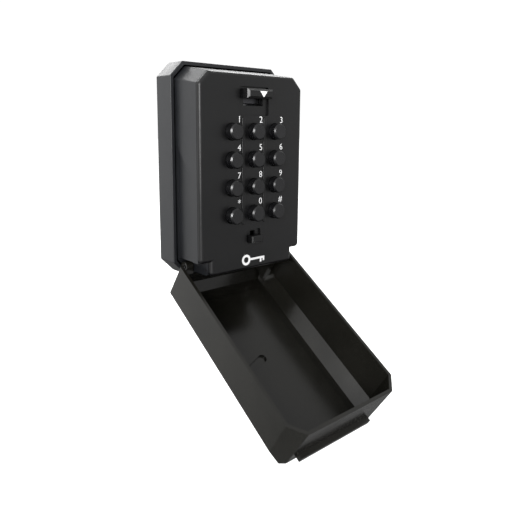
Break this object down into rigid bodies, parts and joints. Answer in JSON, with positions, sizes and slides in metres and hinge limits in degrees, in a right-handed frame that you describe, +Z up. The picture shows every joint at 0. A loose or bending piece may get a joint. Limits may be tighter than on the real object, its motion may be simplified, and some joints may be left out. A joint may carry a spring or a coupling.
{
  "type": "key lock box",
  "caption": "Wall-mounted key lock box with a push-button keypad door and a deep flip-down weather cover, shown with the cover open.",
  "frame": {"origin": "centre of the four wall-screw holes on the back face that lies on the wall", "axes": "+X to the viewer's right when facing the keypad, +Y into the wall, +Z up"},
  "size_m": [0.08, 0.1125, 0.195],
  "materials": {
    "cast_black": "fine black powder coat on die-cast zinc",
    "door_black": "satin black coat on die-cast zinc, white printed key legends",
    "cover_black": "smooth black moulded plastic",
    "button_black": "gloss black",
    "slider_black": "gloss black with a white printed arrow",
    "steel": "zinc-plated sheet and turned steel",
    "spring_steel": "drawn spring wire",
    "brass": "turned brass"
  },
  "bodies": {
    "case": {"mounting_frame": "cast_black", "frame_screws": "steel", "key_case": "cast_black", "key_hook": "steel", "door_hinge_rod": "steel", "cover_hinge_pin_left": "steel", "cover_hinge_pin_right": "steel"},
    "cover": {"weather_cover": "cover_black"},
    "door": {"keypad_door": "door_black", "guide_plate": "steel", "plate_spacers": "steel", "back_plate": "steel", "back_plate_screws": "steel", "slide_spring": "spring_steel", "clear_spring": "spring_steel", "button_spring_1": "spring_steel", "button_spring_2": "spring_steel", "button_spring_3": "spring_steel", "button_spring_4": "spring_steel", "button_spring_5": "spring_steel", "button_spring_6": "spring_steel", "button_spring_7": "spring_steel", "button_spring_8": "spring_steel", "button_spring_9": "spring_steel", "button_spring_star": "spring_steel", "button_spring_0": "spring_steel", "button_spring_hash": "spring_steel"},
    "opener": {"opener_slider": "slider_black", "lock_slide": "steel"},
    "bolt": {"latch_bolt": "steel"},
    "clearer": {"clear_slider": "slider_black", "release_plate": "steel"},
    "key_1": {"button_1": "button_black"},
    "pin_1": {"code_pin_1": "brass"},
    "key_2": {"button_2": "button_black"},
    "pin_2": {"code_pin_2": "brass"},
    "key_3": {"button_3": "button_black"},
    "pin_3": {"code_pin_3": "brass"},
    "key_4": {"button_4": "button_black"},
    "pin_4": {"code_pin_4": "brass"},
    "key_5": {"button_5": "button_black"},
    "pin_5": {"code_pin_5": "brass"},
    "key_6": {"button_6": "button_black"},
    "pin_6": {"code_pin_6": "brass"},
    "key_7": {"button_7": "button_black"},
    "pin_7": {"code_pin_7": "brass"},
    "key_8": {"button_8": "button_black"},
    "pin_8": {"code_pin_8": "brass"},
    "key_9": {"button_9": "button_black"},
    "pin_9": {"code_pin_9": "brass"},
    "key_star": {"button_star": "button_black"},
    "pin_star": {"code_pin_star": "brass"},
    "key_0": {"button_0": "button_black"},
    "pin_0": {"code_pin_0": "brass"},
    "key_hash": {"button_hash": "button_black"},
    "pin_hash": {"code_pin_hash": "brass"}
  },
  "joints": [
    {"name": "cover_hinge", "type": "hinge", "parent": "case", "child": "cover", "pos_m": [0, -0.0176, -0.0532], "axis": [1, 0, 0], "range_deg": [-123.8, 0]},
    {"name": "door_hinge", "type": "hinge", "parent": "case", "child": "door", "pos_m": [0, -0.0306, -0.0535], "axis": [1, 0, 0], "range_deg": [0, 80]},
    {"name": "opener_slide", "type": "slide", "parent": "door", "child": "opener", "axis": [0, 0, -1], "range_m": [0, 0.004], "stiffness_N_per_m": 300, "springref_m": -0.004, "deforming": ["slide_spring"]},
    {"name": "bolt_slide", "type": "slide", "parent": "door", "child": "bolt", "axis": [0, 0, -1], "range_m": [0, 0.004]},
    {"name": "clear_slide", "type": "slide", "parent": "door", "child": "clearer", "axis": [0, 0, 1], "range_m": [0, 0.003], "stiffness_N_per_m": 200, "springref_m": -0.003, "deforming": ["clear_spring"]},
    {"name": "press_1", "type": "slide", "parent": "door", "child": "key_1", "axis": [0, 1, 0], "range_m": [0, 0.0025], "stiffness_N_per_m": 300, "springref_m": -0.002, "deforming": ["button_spring_1"]},
    {"name": "code_1", "type": "hinge", "parent": "key_1", "child": "pin_1", "pos_m": [-0.0155, -0.023, 0.0218], "axis": [0, 1, 0], "range_deg": [0, 180]},
    {"name": "press_2", "type": "slide", "parent": "door", "child": "key_2", "axis": [0, 1, 0], "range_m": [0, 0.0025], "stiffness_N_per_m": 300, "springref_m": -0.002, "deforming": ["button_spring_2"]},
    {"name": "code_2", "type": "hinge", "parent": "key_2", "child": "pin_2", "pos_m": [0, -0.023, 0.0218], "axis": [0, 1, 0], "range_deg": [0, 180]},
    {"name": "press_3", "type": "slide", "parent": "door", "child": "key_3", "axis": [0, 1, 0], "range_m": [0, 0.0025], "stiffness_N_per_m": 300, "springref_m": -0.002, "deforming": ["button_spring_3"]},
    {"name": "code_3", "type": "hinge", "parent": "key_3", "child": "pin_3", "pos_m": [0.0155, -0.023, 0.0218], "axis": [0, 1, 0], "range_deg": [0, 180]},
    {"name": "press_4", "type": "slide", "parent": "door", "child": "key_4", "axis": [0, 1, 0], "range_m": [0, 0.0025], "stiffness_N_per_m": 300, "springref_m": -0.002, "deforming": ["button_spring_4"]},
    {"name": "code_4", "type": "hinge", "parent": "key_4", "child": "pin_4", "pos_m": [-0.0155, -0.023, 0.0066], "axis": [0, 1, 0], "range_deg": [0, 180]},
    {"name": "press_5", "type": "slide", "parent": "door", "child": "key_5", "axis": [0, 1, 0], "range_m": [0, 0.0025], "stiffness_N_per_m": 300, "springref_m": -0.002, "deforming": ["button_spring_5"]},
    {"name": "code_5", "type": "hinge", "parent": "key_5", "child": "pin_5", "pos_m": [0, -0.023, 0.0066], "axis": [0, 1, 0], "range_deg": [0, 180]},
    {"name": "press_6", "type": "slide", "parent": "door", "child": "key_6", "axis": [0, 1, 0], "range_m": [0, 0.0025], "stiffness_N_per_m": 300, "springref_m": -0.002, "deforming": ["button_spring_6"]},
    {"name": "code_6", "type": "hinge", "parent": "key_6", "child": "pin_6", "pos_m": [0.0155, -0.023, 0.0066], "axis": [0, 1, 0], "range_deg": [0, 180]},
    {"name": "press_7", "type": "slide", "parent": "door", "child": "key_7", "axis": [0, 1, 0], "range_m": [0, 0.0025], "stiffness_N_per_m": 300, "springref_m": -0.002, "deforming": ["button_spring_7"]},
    {"name": "code_7", "type": "hinge", "parent": "key_7", "child": "pin_7", "pos_m": [-0.0155, -0.023, -0.0086], "axis": [0, 1, 0], "range_deg": [0, 180]},
    {"name": "press_8", "type": "slide", "parent": "door", "child": "key_8", "axis": [0, 1, 0], "range_m": [0, 0.0025], "stiffness_N_per_m": 300, "springref_m": -0.002, "deforming": ["button_spring_8"]},
    {"name": "code_8", "type": "hinge", "parent": "key_8", "child": "pin_8", "pos_m": [0, -0.023, -0.0086], "axis": [0, 1, 0], "range_deg": [0, 180]},
    {"name": "press_9", "type": "slide", "parent": "door", "child": "key_9", "axis": [0, 1, 0], "range_m": [0, 0.0025], "stiffness_N_per_m": 300, "springref_m": -0.002, "deforming": ["button_spring_9"]},
    {"name": "code_9", "type": "hinge", "parent": "key_9", "child": "pin_9", "pos_m": [0.0155, -0.023, -0.0086], "axis": [0, 1, 0], "range_deg": [0, 180]},
    {"name": "press_star", "type": "slide", "parent": "door", "child": "key_star", "axis": [0, 1, 0], "range_m": [0, 0.0025], "stiffness_N_per_m": 300, "springref_m": -0.002, "deforming": ["button_spring_star"]},
    {"name": "code_star", "type": "hinge", "parent": "key_star", "child": "pin_star", "pos_m": [-0.0155, -0.023, -0.0238], "axis": [0, 1, 0], "range_deg": [0, 180]},
    {"name": "press_0", "type": "slide", "parent": "door", "child": "key_0", "axis": [0, 1, 0], "range_m": [0, 0.0025], "stiffness_N_per_m": 300, "springref_m": -0.002, "deforming": ["button_spring_0"]},
    {"name": "code_0", "type": "hinge", "parent": "key_0", "child": "pin_0", "pos_m": [0, -0.023, -0.0238], "axis": [0, 1, 0], "range_deg": [0, 180]},
    {"name": "press_hash", "type": "slide", "parent": "door", "child": "key_hash", "axis": [0, 1, 0], "range_m": [0, 0.0025], "stiffness_N_per_m": 300, "springref_m": -0.002, "deforming": ["button_spring_hash"]},
    {"name": "code_hash", "type": "hinge", "parent": "key_hash", "child": "pin_hash", "pos_m": [0.0155, -0.023, -0.0238], "axis": [0, 1, 0], "range_deg": [0, 180]}
  ],
  "couplings": [
    {"joint": "bolt_slide", "follows": "opener_slide", "ratio": 1}
  ]
}
